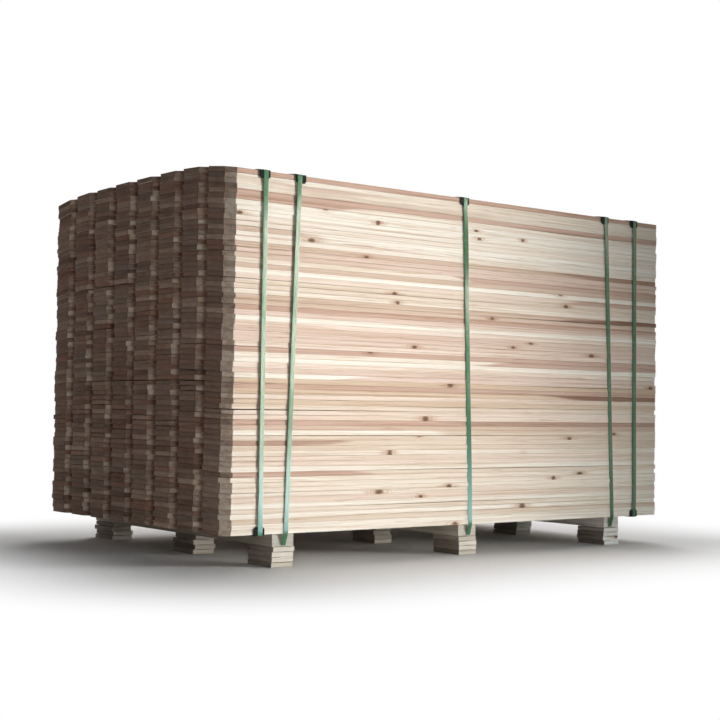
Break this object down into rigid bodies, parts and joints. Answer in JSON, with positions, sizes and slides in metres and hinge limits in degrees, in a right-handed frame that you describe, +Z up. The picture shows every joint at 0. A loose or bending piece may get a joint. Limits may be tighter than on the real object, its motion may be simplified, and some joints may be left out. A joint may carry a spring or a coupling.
{
  "type": "stack of lumber",
  "caption": "Strapped rectangular stack of dog-eared fence boards laid flat in courses, on block-footed bearers that leave fork entries, with corner guards under the straps.",
  "frame": {"origin": "on the floor, under the middle of the stack", "axes": "+X along the boards towards their square ends, +Y from the front face to the back, +Z up"},
  "size_m": [1.835, 1.1368, 1.1771],
  "materials": {
    "board_wood": "rough sawn softwood",
    "bearer_wood": "rough sawn softwood",
    "strap_plastic": "green polyester strapping, lightly embossed",
    "guard_plastic": "dark moulded plastic"
  },
  "bodies": {
    "root": {"column_1_odd_courses": "board_wood", "column_1_even_courses": "board_wood", "column_2_odd_courses": "board_wood", "column_2_even_courses": "board_wood", "column_3_odd_courses": "board_wood", "column_3_even_courses": "board_wood", "column_4_odd_courses": "board_wood", "column_4_even_courses": "board_wood", "column_5_odd_courses": "board_wood", "column_5_even_courses": "board_wood", "column_6_odd_courses": "board_wood", "column_6_even_courses": "board_wood", "column_7_odd_courses": "board_wood", "column_7_even_courses": "board_wood", "column_8_odd_courses": "board_wood", "column_8_even_courses": "board_wood", "bearer_1_batten": "bearer_wood", "bearer_1_odd_blocks": "bearer_wood", "bearer_1_even_blocks": "bearer_wood", "bearer_2_batten": "bearer_wood", "bearer_2_odd_blocks": "bearer_wood", "bearer_2_even_blocks": "bearer_wood", "bearer_3_batten": "bearer_wood", "bearer_3_odd_blocks": "bearer_wood", "bearer_3_even_blocks": "bearer_wood", "strap_1": "strap_plastic", "strap_2": "strap_plastic", "strap_3": "strap_plastic", "strap_4": "strap_plastic", "strap_5": "strap_plastic", "strap_1_guards": "guard_plastic", "strap_2_guards": "guard_plastic", "strap_3_guards": "guard_plastic", "strap_4_guards": "guard_plastic", "strap_5_guards": "guard_plastic"}
  },
  "joints": []
}
